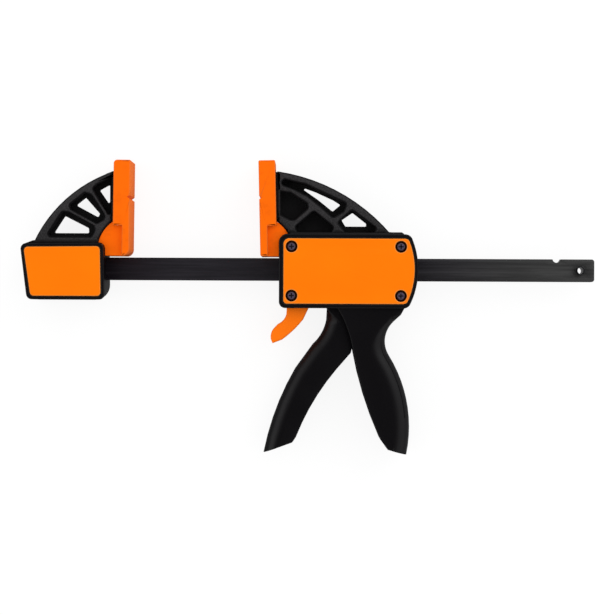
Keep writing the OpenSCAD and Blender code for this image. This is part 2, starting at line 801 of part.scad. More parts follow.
// The channel between the trigger's walls, open towards the grip, with cross ribs left in it
module trigger_channel() {
    ends = [handle_pt([0, channel_top]).y, handle_pt([0, channel_low]).y];
    inner = [for (p = beside(trigger_front, trigger_wall)) if (p.y < ends[0] && p.y > ends[1]) p];
    rib_pitch = (ends[0] - ends[1]) / (channel_ribs + 1);
    difference() {
        plate(concat(inner, [
            [inner[len(inner) - 1].x, ends[1]], [pivot_x + far, ends[1]],
            [pivot_x + far, ends[0]], [inner[0].x, ends[0]]
        ]), trigger_w / 2 - trigger_wall);
        for (i = [1:channel_ribs]) {
            rib_y = ends[1] + i * rib_pitch;
            block(-far, far * 2, rib_y - channel_rib_t / 2, rib_y + channel_rib_t / 2, far);
        }
    }
}

module trigger() {
    fork_x = [rib_x + slide, pivot_x + fork_back];
    color(trigger_black) in_moving_jaw() difference() {
        union() {
            difference() {
                plate(concat(trigger_front, trigger_back), trigger_w / 2);
                trigger_channel();
            }
            difference() {
                block(fork_x[0], fork_x[1], down(trigger_top + fork_root), pivot_y, fork_out);
                block(0, far * 2, yoke_top, pivot_y + bite, fork_in);
            }
            hull() for (back = [0, nose_run])
                translate([pivot_x + nose_run - back, nose_y - back / 2, -fork_out])
                    cylinder(r = nose_r, h = 2 * fork_out);
            hole(pivot_x, pivot_y, 2 * eye_r, fork_out);
        }
        hole(pivot_x, pivot_y, pivot_d + 2 * fit);
    }
}

module drive_plate(x) {
    difference() {
        block(x, x + drive_t, plate_bottom, plate_top, plate_half);
        block(x - bite, x + drive_t + bite, -bar_h / 2 - slide, bar_h / 2 + slide, bar_t / 2 + slide);
    }
}

module drive_plate_inner() {
    color("silver") in_moving_jaw() drive_plate(plate_x);
}

module drive_plate_outer() {
    color("silver") in_moving_jaw() drive_plate(plate_x + drive_t);
}

drive_turns = 8;
brake_turns = 4;
brake_coil_d = 6;     // from the middle of the wire

module drive_spring() {
    color("gray") in_moving_jaw() translate([spring_x, 0, 0])
        coil(drive_od - drive_wire, drive_wire, drive_len, drive_turns);
}

// Hangs the brake plate from its fulcrum at its slant
module canted() {
    translate([fulcrum_x, fulcrum_y, 0]) rotate(-brake_cant) children();
}

brake_reach = fulcrum_y - down(4.6);
brake_play = 0.12;    // between the brake plate and the bar at rest

module brake_plate() {
    middle = fulcrum_y / cos(brake_cant);
    slot = bar_h / 2 + brake_t / 2 * sin(brake_cant) + brake_play;
    color("silver") in_moving_jaw() canted() difference() {
        union() {
            hole(0, 0, brake_t, brake_half);
            block(-brake_t / 2, brake_t / 2, -brake_reach, 0, brake_half);
        }
        block(-far, far, -middle - slot, -middle + slot, bar_t / 2 + slide);
    }
}

// Side view of the lever, from the fulcrum's station and the bar's bottom edge
lever_outline = path([for (s = [
    [-6.8, lever_top, 0], [-6.8, 4.9, 0], [-2.5, 5.3, 0], [-2.5, 12.5, 0], [-3.1, 13.1, 0],
    [-9.2, 13.1, 0], [-9.2, 16.25, 0], [-9.4, 19.85, 0.12], [-14.4, 25.75, 0],
    [-17.2, 28.75, -0.1], [-18.6, 34.85, 0], [-17.6, 37.3, 0], [-12.0, 35.2, -0.035],
    [0.6, 23.1, 0], [3.85, 16.25, 0], [lever_back, 11.5, 0], [lever_back, lever_top]
]) [fulcrum_x + s.x, down(s.y), s[2]]]);

module release_lever() {
    color(lever_orange) in_moving_jaw() {
        difference() {
            plate(lever_outline, lever_w / 2);
            canted() block(-brake_t / 2 - fit, brake_t / 2 + fit, -brake_reach - seat, 0, far);
        }
        translate([fulcrum_x + lever_back - eps, spring_y, 0]) rotate([0, 90, 0])
            cylinder(d = peg_d, h = lever_peg_len);
    }
}

module brake_spring() {
    face_x = fulcrum_x + lever_back + seat;
    color("gray") in_moving_jaw() translate([face_x, spring_y, 0])
        coil(brake_coil_d, brake_wire, rib_x - rib_t - seat - face_x, brake_turns);
}

bar();
fixed_jaw();
fixed_jaw_front_badge();
fixed_jaw_rear_badge();
fixed_jaw_pad();
fixed_jaw_pins();
stop_pin();
jaw_housing();
front_cover();
rear_cover();
front_cover_screws();
rear_cover_screws();
moving_jaw_pad();
trigger_pivot_pin();
trigger();
drive_plate_inner();
drive_plate_outer();
drive_spring();
brake_plate();
release_lever();
brake_spring();
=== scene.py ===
"""A quick release bar clamp, lying on its side on a pale table: its pieces and its stage."""

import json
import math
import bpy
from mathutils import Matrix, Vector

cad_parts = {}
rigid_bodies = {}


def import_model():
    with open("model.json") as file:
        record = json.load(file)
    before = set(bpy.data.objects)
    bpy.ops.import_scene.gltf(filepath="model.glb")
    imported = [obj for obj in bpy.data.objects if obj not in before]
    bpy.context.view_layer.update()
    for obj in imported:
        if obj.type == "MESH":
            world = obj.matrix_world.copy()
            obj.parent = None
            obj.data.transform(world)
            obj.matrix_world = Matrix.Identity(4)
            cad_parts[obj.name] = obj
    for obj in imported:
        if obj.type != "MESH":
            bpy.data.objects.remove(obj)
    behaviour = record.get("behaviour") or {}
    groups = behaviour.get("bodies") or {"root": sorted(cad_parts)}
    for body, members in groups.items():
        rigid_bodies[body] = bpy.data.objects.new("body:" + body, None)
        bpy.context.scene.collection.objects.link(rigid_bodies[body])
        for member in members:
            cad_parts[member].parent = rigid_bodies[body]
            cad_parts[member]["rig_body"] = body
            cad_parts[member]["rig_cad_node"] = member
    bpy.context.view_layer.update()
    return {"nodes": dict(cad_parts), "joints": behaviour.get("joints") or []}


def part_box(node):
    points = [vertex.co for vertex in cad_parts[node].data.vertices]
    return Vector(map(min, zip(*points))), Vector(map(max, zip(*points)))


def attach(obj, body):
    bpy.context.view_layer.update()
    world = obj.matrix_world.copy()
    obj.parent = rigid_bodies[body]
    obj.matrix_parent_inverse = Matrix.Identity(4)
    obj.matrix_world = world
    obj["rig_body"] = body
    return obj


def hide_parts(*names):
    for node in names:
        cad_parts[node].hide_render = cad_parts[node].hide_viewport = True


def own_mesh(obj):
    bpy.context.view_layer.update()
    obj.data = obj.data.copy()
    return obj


bl_info = {
    "name": "Bar Clamp",
    "version": (1, 0, 0),
    "blender": (4, 5, 0),
    "location": "View3D > Sidebar > Clamp",
    "description": "Finishes the pieces of a quick release bar clamp and lights them",
    "category": "Add Mesh",
}

import bmesh
import bpy
from bpy.props import FloatProperty, FloatVectorProperty, PointerProperty
from mathutils import Vector

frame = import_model()

MM = 0.001
TURN = 2 * math.pi

# Where things lie in the frame, in metres
BAR_LOW, BAR_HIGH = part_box("bar")
COVER_LOW, COVER_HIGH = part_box("front_cover")
BADGE_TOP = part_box("fixed_jaw_front_badge")[1].y
MIDDLE_Z = (BAR_LOW.z + BAR_HIGH.z) / 2
JOINTS = {joint["name"]: joint for joint in frame["joints"]}

# Measures by which edges and finishes are told apart
PAD_DEPTH = 9.9 * MM  # from a pad's face to its back
RIM_REACH = 3.2 * MM  # from a cover or a badge to beyond the rim round it
ARCH_DEPTH = 9.5 * MM  # just less than from the middle plane to an arch's outer faces
GRIP_DEPTH = 12.9 * MM  # just less than from the middle plane to the grip's outer faces
SKIN = 0.1 * MM  # how far inside a face an edge still counts as the face's own
GROOVE_SHORT, GROOVE_LONG = 0.8 * MM, 2.6 * MM  # lengths of the edges in a pad's groove
PALM_START = 0.25  # share of the grip's rounding with which it starts at its top
LEANING = 0.3  # a face whose normal has more than this along X looks along the bar

# The studio: the camera looks straight down on the clamp
CAMERA_PLACE = (-0.63 * MM, 0.225 * MM, 914.5 * MM)
CAMERA_TURN = 0.25  # degrees
CAMERA_LENS = 87.8  # millimetres
CAMERA_SENSOR = 36.0
TABLE_SIZE = 6.0
TABLE_DROP = 0.05 * MM  # how far the table lies under the clamp
TABLE_GLOW = 1.03  # brightness of the table's own white
GLOW_SHARE = 0.85  # share of that white in the table as seen; the rest is lit and shadowed
GLOSS_NEAR, GLOSS_FAR = 0.2, 0.4  # how bright the table looks in gloss, at x = 0 and at its side
GLOSS_SIDE = 0.12  # x from which it is that bright
RING_TOP, CEILING = 0.7, 0.92  # heights on a dome of radius 1 between which the ring fades out
RING_GLOW, CEILING_GLOW = 1.25, 0.02
SOFT_LIGHT = 0.9  # the even light on matt surfaces
WHITE = (1.0, 1.0, 1.0)


def size(name, millimetres, description):
    """A length that a user can change, in metres."""
    return FloatProperty(name=name, default=millimetres * MM, min=0.0, unit="LENGTH",
                         subtype="DISTANCE", precision=5, description=description)


def colour(name, srgb, description):
    """A colour that a user can change, given as it looks on a screen."""
    linear = [c / 12.92 if c <= 0.04045 else ((c + 0.055) / 1.055) ** 2.4 for c in srgb]
    return FloatVectorProperty(name=name, default=linear, size=3, min=0.0, max=1.0,
                               subtype="COLOR", description=description)


class ClampSizes(bpy.types.PropertyGroup):
    """Edge roundings and small fittings."""

    palm_round: size("Grip rounding", 9.5, "Radius along the grip's outer edges")
    palm_fade: size("Grip fade", 12.0, "How far down the grip its rounding grows")
    finger_round: size("Trigger rounding", 8.0, "Radius along the trigger's outer edges")
    handle_inner: size("Inner rounding", 0.5, "Radius along the handles' facing edges and tips")
    rib_round: size("Rib rounding", 1.5, "Radius along the ribs of both jaw arches")
    rim_round: size("Rim rounding", 0.6, "Radius along the rims of the head and the housing")
    cover_round: size("Cover rounding", 0.6, "Radius round the covers and the badges")
    pad_round: size("Pad rounding", 0.9, "Radius along the edges of both pads")
    lever_round: size("Lever rounding", 1.3, "Radius along the edges of the release lever")
    bar_round: size("Bar rounding", 0.35, "Radius along the edges of the bar")
    plate_round: size("Plate rounding", 0.25, "Radius along the edges of the plates")
    pin_round: size("Pin rounding", 0.12, "Radius round the ends of the pins")
    drive_wire: size("Drive spring wire", 1.6, "Diameter of the drive spring's wire")
    brake_wire: size("Brake spring wire", 0.8, "Diameter of the brake spring's wire")
    screw_dome: size("Screw dome", 0.85, "Radius round the top of a screw's head")


class ClampColours(bpy.types.PropertyGroup):
    """Colours of the finishes."""

    cover: colour("Covers", (1.0, 0.478, 0.0), "Moulded covers and badges")
    # Painted highlight on the covers' rounded edges
    cover_edge_highlight: colour("Cover edges", (0.95, 0.58, 0.25), "Rounded edges of the covers")
    # Painted shade inside the covers' screw holes and down their sides
    cover_hole_shade: colour("Cover holes", (0.18, 0.03, 0.01), "Insides of the covers' screw holes")
    pad: colour("Pads", (1.0, 0.42, 0.0), "Soft jaw pads")
    # Painted highlight on the pads' rounded edges and sides
    pad_edge_highlight: colour("Pad edges", (0.93, 0.45, 0.15), "Rounded edges and sides of the pads")
    lever: colour("Lever", (1.0, 0.46, 0.0), "Release lever")
    nylon: colour("Nylon", (0.018, 0.012, 0.022), "Smooth black nylon of the handles")
    # Grain on the ribs' tops, in a tone lightened by painted sheen
    grain_and_sheen: colour("Grained nylon", (0.17, 0.165, 0.17), "Grained tops of the arches' ribs")
    # Painted shade on the pocket floors of the arches
    floor: colour("Pocket floors", (0.06, 0.055, 0.06), "Floors of the arches' pockets")
    bar: colour("Bar", (0.15, 0.14, 0.165), "Blackened steel of the bar")
    # Painted shade on the bar next to the fixed jaw
    bar_painted_shade: colour("Bar in the head", (0.11, 0.085, 0.12), "Bar next to the fixed jaw")
    # Painted light on the bar towards its free end
    bar_painted_light: colour("Bar end", (0.235, 0.235, 0.235), "Bar towards its free end")
    # Painted glint on the flat tops of the cover screws
    screw: colour("Screws", (0.35, 0.31, 0.4), "Worn tops of the cover screws")
    screw_dark: colour("Screw edges", (0.12, 0.08, 0.09), "Blackened edges of the cover screws")
    pin: colour("Pins", (0.25, 0.25, 0.26), "Dark spring steel of the pins")
    zinc: colour("Plates", (0.72, 0.72, 0.74), "Zinc plated steel of the plates")
    wire: colour("Springs", (0.5, 0.5, 0.52), "Drawn wire of the springs")
    table: colour("Table", (0.97, 0.97, 0.97), "Table under the clamp")


# ---- finishes ----

SATIN = 0.42  # roughness of smooth plastic
NYLON_GLOSS = 0.17  # specular level of black nylon
FINE = 1500.0  # patches to a metre in the grain of a mould


class Value:
    """An output of a node: sums and products with it add Math nodes."""

    def __init__(self, nodes, socket):
        self.nodes = nodes
        self.socket = socket

    def _math(self, operation, a, b):
        return self.nodes.add("ShaderNodeMath", {"operation": operation}, {0: a, 1: b})

    def __add__(self, other):
        return self._math("ADD", self, other)

    __radd__ = __add__

    def __sub__(self, other):
        return self._math("SUBTRACT", self, other)

    def __rsub__(self, other):
        return self._math("SUBTRACT", other, self)

    def __mul__(self, other):
        return self._math("MULTIPLY", self, other)

    __rmul__ = __mul__


class Nodes:
    """A node tree, to which each method adds nodes."""

    def __init__(self, tree):
        self.tree = tree

    def feed(self, socket, value):
        """Links a socket to a value, or sets it to a number or a colour."""
        if isinstance(value, Value):
            self.tree.links.new(value.socket, socket)
        elif socket.type == "RGBA" and len(value) == 3:
            socket.default_value = (*value, 1.0)
        else:
            socket.default_value = value

    def add(self, kind, settings=None, sockets=None, output=0):
        """Adds a node: its settings first, then the values or links of its sockets."""
        made = self.tree.nodes.new(kind)
        for key, value in (settings or {}).items():
            setattr(made, key, value)
        for key, value in (sockets or {}).items():
            self.feed(made.inputs[key], value)
        return Value(self, made.outputs[output])

    def ray(self, kind):
        """1 for light rays of one kind, and 0 for all others."""
        return self.add("ShaderNodeLightPath", output=kind)

    def part(self, kind, axis):
        """One axis of the surface's place, of its facing or of the way to the sky."""
        at = self.add("ShaderNodeTexCoord", output=kind)
        return self.add("ShaderNodeSeparateXYZ", None, {0: at}, output=axis)

    def ramp(self, value, low, high, start=0.0, end=1.0):
        """start below low, end above high, and a smooth change from one to the other."""
        return self.add("ShaderNodeMapRange", {"interpolation_type": "SMOOTHSTEP"}, {
            "Value": value, "From Min": low, "From Max": high, "To Min": start, "To Max": end,
        })

    def blend(self, mask, first, second):
        """One number where mask is 0 and another where it is 1."""
        return self.add("ShaderNodeMix", None, {0: mask, 2: first, 3: second})

    def mix(self, mask, first, second, how="MIX"):
        """One colour where mask is 0 and another, or both blended, where it is 1."""
        return self.add("ShaderNodeMix", {"data_type": "RGBA", "blend_type": how},
                        {0: mask, 6: first, 7: second}, output=2)

    def glow(self, brightness):
        """A white glow."""
        return self.add("ShaderNodeEmission", None, {"Color": WHITE, "Strength": brightness})

    def layers(self, mask, first, second):
        """One shader where mask is 0 and another where it is 1."""
        return self.add("ShaderNodeMixShader", None, {0: mask, 1: first, 2: second})


class Paint(Nodes):
    """One material: its shader's own settings, and the nodes that vary over a surface."""

    def __init__(self, name, **settings):
        self.material = bpy.data.materials.new(name)
        self.material.use_nodes = True
        super().__init__(self.material.node_tree)
        self.shader = self.tree.nodes["Principled BSDF"]
        for socket, value in settings.items():
            self.set(socket.replace("_", " "), value)

    def set(self, socket, value):
        """Sets or links one socket of the shader."""
        self.feed(self.shader.inputs[socket], value)

    def noise(self, per_metre, detail=3.0, stretch=(1.0, 1.0, 1.0), rough=0.5):
        """Mottling from 0 to 1, with so many patches to a metre, stretched along each axis."""
        at = self.add("ShaderNodeTexCoord", output="Object")
        place = self.add("ShaderNodeMapping", None, {"Vector": at, "Scale": stretch})
        return self.add("ShaderNodeTexNoise", None, {
            "Vector": place, "Scale": per_metre, "Detail": detail, "Roughness": rough,
        })

    def facing(self, low, high):
        """0 where the surface leans away from the piece's sides, and 1 where it lies flat."""
        upright = self.part("Normal", 2)
        return self.ramp(upright * upright, low, high)

    def outside(self, low, high):
        """0 nearer to the middle plane than low, and 1 farther from it than high."""
        out = self.part("Object", 2) - MIDDLE_Z
        return self.ramp(out * out, low ** 2, high ** 2)

    def bump(self, height, depth):
        """Raises the surface by height times depth."""
        self.set("Normal", self.add("ShaderNodeBump", None, {
            "Height": height, "Distance": depth, "Strength": 1.0,
        }))


def scaled(tone, factor):
    """A colour made lighter or darker."""
    return tuple(min(1.0, c * factor) for c in tone)


def moulded(name, tone, gloss, spread):
    """Moulded plastic: a fine grain, and faint cloudy changes of tone and gloss."""
    paint = Paint(name, Specular_IOR_Level=gloss)
    cloud = paint.noise(45.0, 2.0)
    paint.set("Roughness", SATIN - 0.05 + 0.1 * cloud)
    paint.bump(paint.noise(FINE, 2.0), 0.02 * MM)
    return paint, paint.mix(paint.ramp(cloud, 0.3, 0.7), scaled(tone, 1 - spread),
                            scaled(tone, 1 + spread))


def smooth_plastic(name, tone, gloss, spread):
    """Moulded plastic of one tone, for the trigger and the lever."""
    paint, mottled = moulded(name, tone, gloss, spread)
    paint.set("Base Color", mottled)
    return paint.material


def cover_plastic(name, tone, edge, shade, depth):
    """Moulded plastic, paler on its rounded edges as a painted highlight, and dark as painted
    shade inside holes and down sides deeper than depth.
    """
    paint, mottled = moulded(name, tone, 0.05, 0.02)
    # Painted highlight: faces that lean away from flat, the rounded edges, take the paler edge
    # colour.
    outer = paint.mix(paint.facing(0.75, 0.99), edge, mottled)
    # Painted shade: whatever lies deeper than depth, in the screw holes and down the sides, takes
    # the dark shade colour.
    paint.set("Base Color", paint.mix(paint.outside(depth - 0.3 * MM, depth), shade, outer))
    return paint.material


def grained_nylon(name, smooth, grain_and_sheen, floor, edge_y, pad_face, side):
    """Nylon, smooth below edge_y; above it, grain on the tops of the ribs with painted sheen.

    Above edge_y, painted shade gives sloping faces, and the ribs next to the pad, whose face
    lies at pad_face, the smooth tone; side is 1 where the arch lies towards +X from it, and -1
    where it lies towards -X. The pocket floors get painted shade in a darker tone of their own.
    """
    paint = Paint(name, Specular_IOR_Level=NYLON_GLOSS)
    above = paint.ramp(paint.part("Object", 1), edge_y - 1.5 * MM, edge_y + 1.5 * MM)
    # Painted shade: next to the pad the ribs keep the smooth tone.
    behind = (paint.part("Object", 0) - pad_face) * side
    clear_of_pad_shade = paint.ramp(behind, PAD_DEPTH + 1 * MM, PAD_DEPTH + 3.5 * MM)
    # Painted shade: the pocket floors, nearer to the middle plane than the ribs' tops, take a
    # darker tone.
    clear_of_pocket_shade = paint.outside(6 * MM, 9 * MM)
    speckle = paint.noise(1100.0, 3.0, rough=0.7)
    cloud = paint.noise(60.0, 2.0)
    coarse = paint.ramp(speckle * 0.8 + cloud * 0.2, 0.36, 0.62)
    # Grain speckle on the ribs' tops, over a tone lightened by painted sheen.
    rib_grain_and_sheen = paint.mix(coarse, scaled(grain_and_sheen, 0.4), scaled(grain_and_sheen, 1.3))
    flat = paint.mix(clear_of_pocket_shade, floor, paint.mix(clear_of_pad_shade, smooth, rib_grain_and_sheen))
    # Painted shade: faces that slope away from flat take the smooth tone.
    arch = paint.mix(paint.facing(0.6, 0.97), smooth, flat)
    paint.set("Base Color", paint.mix(above, smooth, arch))
    paint.set("Roughness", SATIN + 0.3 * above)
    paint.bump(speckle * (0.2 + 0.8 * above), 0.08 * MM)
    return paint.material


def brushed_steel(name, dark, mid, pale):
    """Blackened steel, brushed along its length, with painted shade next to the fixed jaw and
    paler towards its free end as painted light.
    """
    paint = Paint(name, Metallic=0.35, Specular_IOR_Level=0.3)
    streak = paint.noise(900.0, 4.0, (0.03, 1.0, 1.0), 0.6)
    blotch = paint.noise(90.0, 3.0, (0.25, 1.0, 1.0))
    x = paint.part("Object", 0)
    # Painted shade on the bar by the head, and painted light towards its free end.
    past_head = paint.ramp(x, BAR_LOW.x + 50 * MM, BAR_LOW.x + 85 * MM)
    near_end = paint.ramp(x, BAR_HIGH.x - 120 * MM, BAR_HIGH.x - 30 * MM)
    tone = paint.mix(near_end, paint.mix(past_head, dark, mid), pale)
    deep = paint.mix(1.0, tone, scaled(WHITE, 0.6), "MULTIPLY")
    mask = paint.ramp(streak * 0.6 + blotch * 0.4, 0.38, 0.62)
    paint.set("Base Color", paint.mix(mask, deep, tone))
    paint.set("Roughness", 0.36 + 0.14 * streak)
    paint.bump(streak, 0.05 * MM)
    return paint.material


def metal(name, tone, roughness, stretch=(1.0, 1.0, 1.0)):
    """Bare or plated metal with fine marks along one axis."""
    paint = Paint(name, Metallic=1.0)
    marks = paint.noise(1600.0, 3.0, stretch)
    paint.set("Base Color", paint.mix(marks, scaled(tone, 0.8), scaled(tone, 1.1)))
    paint.set("Roughness", roughness - 0.06 + 0.12 * marks)
    paint.bump(marks, 0.02 * MM)
    return paint.material


def pad_rubber(name, tone, edge):
    """Soft pad plastic: satin, with duller, paler edges and sides as a painted highlight, and
    faint darker scuffs.
    """
    paint = Paint(name, Specular_IOR_Level=0.06)
    scuff = paint.noise(160.0, 4.0, rough=0.65)
    face = paint.mix(paint.ramp(scuff, 0.3, 0.55), scaled(tone, 0.9), tone)
    # Painted highlight: the rounded edges and the sides take the paler edge colour.
    paint.set("Base Color", paint.mix(paint.facing(0.4, 0.98), edge, face))
    paint.set("Roughness", 0.5 + 0.12 * scuff)
    paint.bump(paint.noise(FINE, 2.0), 0.05 * MM)
    return paint.material


def glinting_screw(name, dark, pale, depth):
    """Blackened steel with a pale painted glint on its flat top, and dark, with painted shade in
    the recess, nearer to the middle than depth.
    """
    paint = Paint(name, Metallic=0.5, Roughness=0.4)
    # Painted glint: flat faces at the top take the pale colour; the recess stays dark as painted
    # shade.
    painted_glint = paint.facing(0.8, 0.99) * paint.outside(depth - 0.2 * MM, depth)
    paint.set("Base Color", paint.mix(painted_glint, dark, pale))
    return paint.material


# ---- modelling ----

FLAT = math.radians(0.2)  # faces that turn less than this are one flat face
SHARP = math.radians(38)  # edges that turn more than this are rounded
VERY_SHARP = math.radians(60)
WIRE_SIDES = 10  # round a spring's wire
TURN_STEPS = 20  # along each of its turns


def only(piece):
    """Selects a piece and nothing else."""
    bpy.ops.object.select_all(action="DESELECT")
    piece.select_set(True)
    bpy.context.view_layer.objects.active = piece


def copy_of(node, name, merge=0.03 * MM, flat=True):
    """A piece that starts as a joined up copy of a node's mesh.

    Its flat faces are made whole, unless flat is False, which leaves them in triangles.
    """
    only(frame["nodes"][node])
    bpy.ops.object.duplicate()
    piece = bpy.context.active_object
    piece.name = piece.data.name = name
    bpy.ops.object.parent_clear(type="CLEAR")
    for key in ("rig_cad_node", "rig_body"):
        del piece[key]
    piece.data.materials.clear()
    bpy.ops.mesh.customdata_custom_splitnormals_clear()
    bpy.ops.object.mode_set(mode="EDIT")
    bpy.ops.mesh.select_all(action="SELECT")
    bpy.ops.mesh.remove_doubles(threshold=merge)
    if flat:
        bpy.ops.mesh.dissolve_limited(angle_limit=FLAT)
    bpy.ops.object.mode_set(mode="OBJECT")
    return piece


def outer_face(node):
    """Height of the node's face that looks away from the middle plane."""
    low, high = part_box(node)
    return high.z if low.z > MIDDLE_Z else low.z


def face_depth(node):
    """Just less than from the middle plane to the node's outer faces."""
    low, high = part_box(node)
    return (high.z - low.z) / 2 - SKIN


def pick_edges(piece, wanted):
    """Leaves the piece in edit mode with the edges selected for which wanted(edge) is true."""
    only(piece)
    bpy.ops.object.mode_set(mode="EDIT")
    bpy.ops.mesh.select_mode(type="EDGE")
    bpy.ops.mesh.select_all(action="DESELECT")
    mesh = bmesh.from_edit_mesh(piece.data)
    found = [edge for edge in mesh.edges if len(edge.link_faces) == 2 and wanted(edge)]
    for edge in found:
        edge.select_set(True)
    bmesh.update_edit_mesh(piece.data)
    return len(found)


def centre(edge):
    """Middle of an edge."""
    return (edge.verts[0].co + edge.verts[1].co) / 2


def depth(edge):
    """How far the middle of an edge lies from the middle plane."""
    return abs(centre(edge).z - MIDDLE_Z)


def lies_at(edge, height):
    """True for an edge that lies in the plane at a height."""
    return abs(centre(edge).z - height) < SKIN


def sharp(edge, turn=SHARP):
    """True for an outer edge at which the surface turns by more than turn."""
    return edge.calc_face_angle_signed(0.0) > turn


def join_flat(piece, wanted):
    """Makes flat faces whole round the edges for which wanted(edge) is true."""
    pick_edges(piece, wanted)
    bpy.ops.mesh.dissolve_limited(angle_limit=FLAT)
    bpy.ops.object.mode_set(mode="OBJECT")


def round_edges(piece, radius, segments, wanted=None, turn=SHARP, clamp=True, slide=True):
    """Bevels the sharp edges for which wanted(edge) is true, or all of them.

    clamp makes the bevel narrower where it would run into another, and slide lets its ends
    slide along the edges that they meet.
    """
    if pick_edges(piece, lambda edge: sharp(edge, turn) and (not wanted or wanted(edge))):
        bpy.ops.mesh.bevel(offset=radius, segments=segments, profile=0.5, affect="EDGES",
                           clamp_overlap=clamp, miter_outer="ARC", loop_slide=slide)
    bpy.ops.object.mode_set(mode="OBJECT")


def fade_edges(piece, radius, segments, share):
    """Bevels each edge by its share of the radius; an edge whose share is 0 stays sharp."""
    only(piece)
    bpy.ops.object.mode_set(mode="EDIT")
    mesh = bmesh.from_edit_mesh(piece.data)
    weight = mesh.edges.layers.float.new("bevel_weight_edge")
    for edge in mesh.edges:
        edge[weight] = share(edge) if len(edge.link_faces) == 2 else 0.0
    bmesh.update_edit_mesh(piece.data)
    bpy.ops.object.mode_set(mode="OBJECT")
    rounding = piece.modifiers.new("Rounding", "BEVEL")
    rounding.limit_method = "WEIGHT"
    rounding.width = radius
    rounding.segments = segments
    rounding.use_clamp_overlap = False
    bpy.ops.object.modifier_apply(modifier=rounding.name)


def finish(piece, body, slot, material, *nodes, smooth=40.0):
    """Smooths a piece, gives it its finish and lets it ride on its body for its nodes."""
    only(piece)
    bpy.ops.object.shade_smooth_by_angle(angle=math.radians(smooth))
    piece.data.materials.clear()
    piece.data.materials.append(material)
    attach(piece, body)
    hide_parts(*nodes)


class ClampOperator(bpy.types.Operator):
    """Shared settings of the clamp's operators."""

    bl_options = {"REGISTER", "UNDO"}

    @property
    def sizes(self):
        return bpy.context.scene.clamp_sizes

    @property
    def colours(self):
        return bpy.context.scene.clamp_colours


class CLAMP_OT_bar(ClampOperator):
    """Rounds the bar's edges and blackens it"""

    bl_idname = "clamp.bar"
    bl_label = "Bar"

    def execute(self, context):
        piece = copy_of("bar", "clamp_bar")
        round_edges(piece, self.sizes.bar_round, 2)
        steel = brushed_steel("Blackened bar", self.colours.bar_painted_shade, self.colours.bar,
                              self.colours.bar_painted_light)
        finish(piece, "bar_frame", "bar_steel", steel, "bar")
        return {"FINISHED"}


class CLAMP_OT_pins(ClampOperator):
    """Finishes the rolled spring pins and the trigger's pivot pin"""

    bl_idname = "clamp.pins"
    bl_label = "Pins"

    def execute(self, context):
        steel = metal("Spring steel pins", self.colours.pin, 0.35)
        for node, body in (("fixed_jaw_pins", "bar_frame"), ("stop_pin", "bar_frame"),
                           ("trigger_pivot_pin", "moving_jaw")):
            piece = copy_of(node, "clamp_" + node, merge=0.005 * MM)
            round_edges(piece, self.sizes.pin_round, 2, turn=VERY_SHARP)
            finish(piece, body, "pin_steel", steel, node)
        return {"FINISHED"}


class CLAMP_OT_fixed_jaw(ClampOperator):
    """Rounds the ribs of the fixed jaw's arch and the rims of its head"""

    bl_idname = "clamp.fixed_jaw"
    bl_label = "Fixed jaw"

    def execute(self, context):
        piece = copy_of("fixed_jaw", "clamp_fixed_jaw", flat=False)
        head_top = BADGE_TOP + RIM_REACH
        arch_foot = head_top + 1.5 * MM
        outer = face_depth("fixed_jaw")
        pad_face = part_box("fixed_jaw_pad")[1].x
        tip_start = pad_face - PAD_DEPTH - 5.5 * MM
        tip_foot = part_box("fixed_jaw")[1].y - 3.5 * MM

        def on_arch(edge):
            at = centre(edge)
            at_tip = at.x > tip_start and at.y > tip_foot
            return at.y > arch_foot and depth(edge) > ARCH_DEPTH and not at_tip

        def on_head(edge):
            return centre(edge).y < head_top and depth(edge) > outer

        round_edges(piece, self.sizes.rib_round, 4, on_arch, clamp=False, slide=False)
        round_edges(piece, self.sizes.rim_round, 3, on_head)
        material = grained_nylon("Black nylon jaw", self.colours.nylon, self.colours.grain_and_sheen,
                                 self.colours.floor, head_top, pad_face, -1)
        finish(piece, "bar_frame", "black_nylon", material, "fixed_jaw")
        return {"FINISHED"}


class CLAMP_OT_housing(ClampOperator):
    """Rounds the housing's rims, the ribs of its arch and the grip under it"""

    bl_idname = "clamp.housing"
    bl_label = "Housing and grip"

    def execute(self, context):
        piece = copy_of("jaw_housing", "clamp_housing", flat=False)
        rim_top = COVER_HIGH.y + RIM_REACH
        rim_foot = COVER_LOW.y - RIM_REACH
        arch_foot = rim_top - SKIN
        palm_top = rim_foot - 5.9 * MM
        outer = face_depth("jaw_housing")
        join_flat(piece, lambda edge: centre(edge).y < COVER_LOW.y - RIM_REACH / 2)

        def on_arch(edge):
            return centre(edge).y > arch_foot and depth(edge) > ARCH_DEPTH

        def on_rim(edge):
            return rim_foot < centre(edge).y < rim_top and depth(edge) > outer

        def on_grip(edge):
            return centre(edge).y < rim_foot and depth(edge) > GRIP_DEPTH

        def on_palm(edge):
            return on_grip(edge) and max(face.normal.x for face in edge.link_faces) > LEANING

        def palm_share(edge):
            below = (palm_top - centre(edge).y) / self.sizes.palm_fade
            if below < 0 or not (sharp(edge) and on_palm(edge)):
                return 0.0
            return min(1.0, PALM_START + (1 - PALM_START) * below)

        fade_edges(piece, self.sizes.palm_round, 10, palm_share)
        round_edges(piece, self.sizes.handle_inner, 3, on_grip, clamp=False)
        round_edges(piece, self.sizes.rib_round, 4, on_arch, clamp=False, slide=False)
        round_edges(piece, self.sizes.rim_round, 3, on_rim)
        material = grained_nylon("Black nylon housing", self.colours.nylon, self.colours.grain_and_sheen,
                                 self.colours.floor, rim_top + 1.4 * MM,
                                 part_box("moving_jaw_pad")[0].x, 1)
        finish(piece, "moving_jaw", "black_nylon", material, "jaw_housing")
        return {"FINISHED"}


